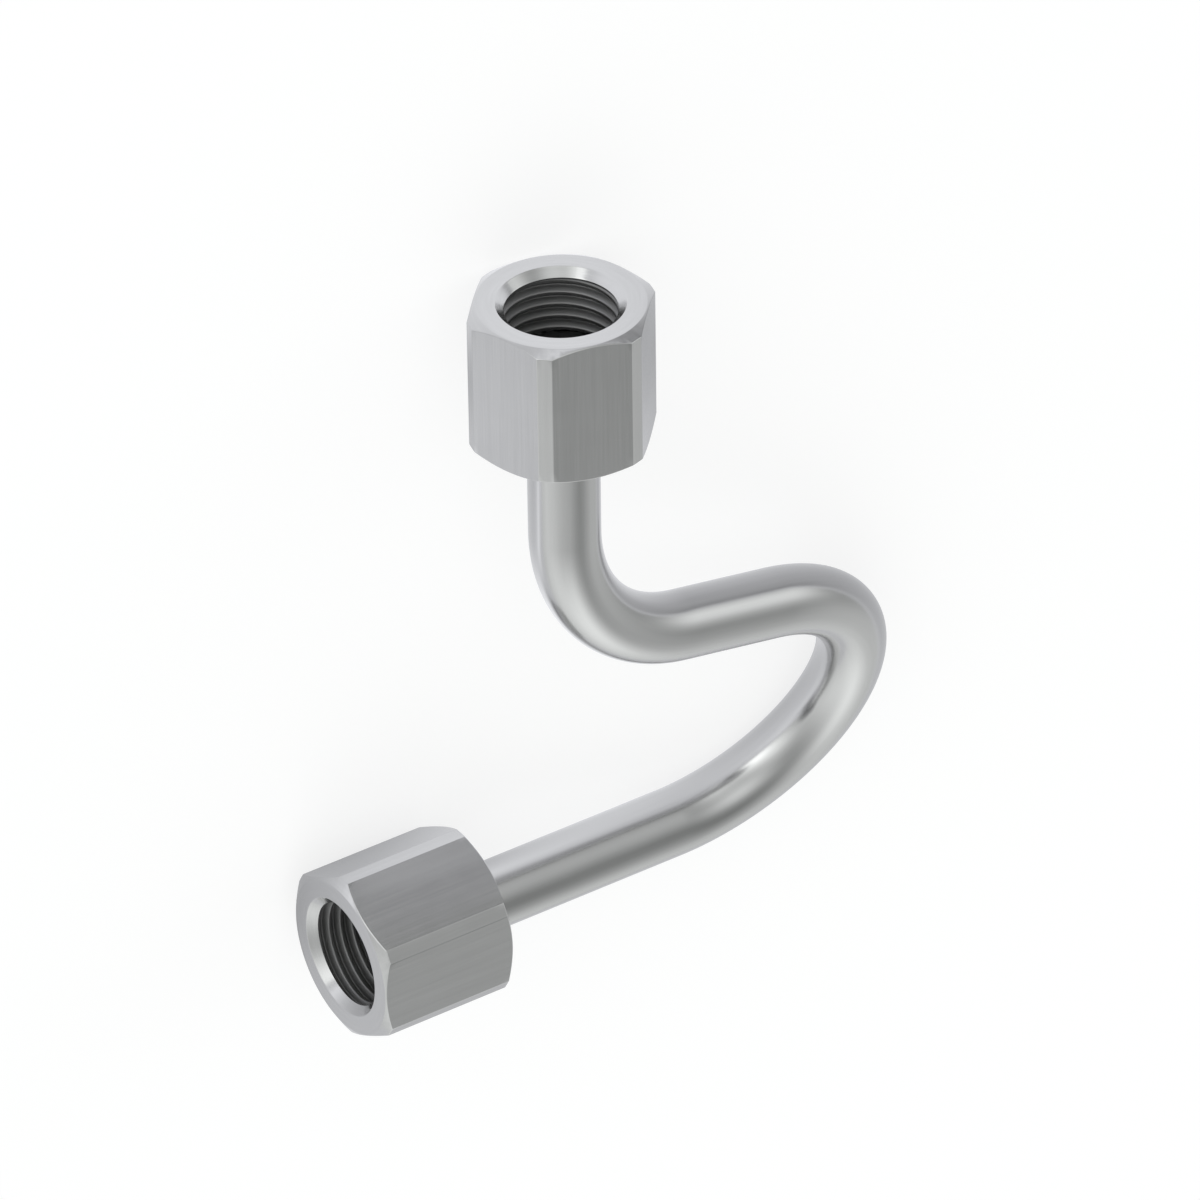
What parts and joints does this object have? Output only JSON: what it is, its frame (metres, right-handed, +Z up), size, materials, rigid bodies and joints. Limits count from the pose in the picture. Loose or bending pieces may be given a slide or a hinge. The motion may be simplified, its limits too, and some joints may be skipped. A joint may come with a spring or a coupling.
{
  "type": "bent tube assembly",
  "caption": "Short bent steel pressure line: one tube with two bends in different planes and a loose threaded hexagon union nut on each end.",
  "frame": {"origin": "on the surface that the assembly lies on, under the middle of its bounding box", "axes": "+Z up with the assembly lying on both nuts and the outside of its second bend; +X the way that the long leg's mouth faces, seen from above; +Y about the way that the tube runs from the short leg's mouth to the first bend"},
  "size_m": [0.0698, 0.1029, 0.0226],
  "materials": {
    "tube_steel": "satin drawn steel",
    "nut_steel": "satin turned and milled steel, dark thread",
    "ring_steel": "turned steel"
  },
  "bodies": {
    "tube": {"bent_tube": "tube_steel"},
    "short_leg_ring": {"short_leg_ring": "ring_steel"},
    "short_leg_nut": {"short_leg_nut": "nut_steel"},
    "long_leg_ring": {"long_leg_ring": "ring_steel"},
    "long_leg_nut": {"long_leg_nut": "nut_steel"}
  },
  "joints": [
    {"name": "short_leg_ring_slide", "type": "slide", "parent": "tube", "child": "short_leg_ring", "axis": [-0.0246, 0.9835, 0.1794], "range_m": [0, 0.0124]},
    {"name": "short_leg_nut_spin", "type": "hinge", "parent": "short_leg_ring", "child": "short_leg_nut", "pos_m": [0.01316, -0.05001, 0.00949], "axis": [-0.0246, 0.9835, 0.1794], "continuous": true},
    {"name": "long_leg_ring_slide", "type": "slide", "parent": "tube", "child": "long_leg_ring", "axis": [-0.986, 0, -0.1667], "range_m": [0, 0.0273]},
    {"name": "long_leg_nut_spin", "type": "hinge", "parent": "long_leg_ring", "child": "long_leg_nut", "pos_m": [0.03361, 0.04068, 0.01272], "axis": [-0.986, 0, -0.1667], "continuous": true}
  ]
}
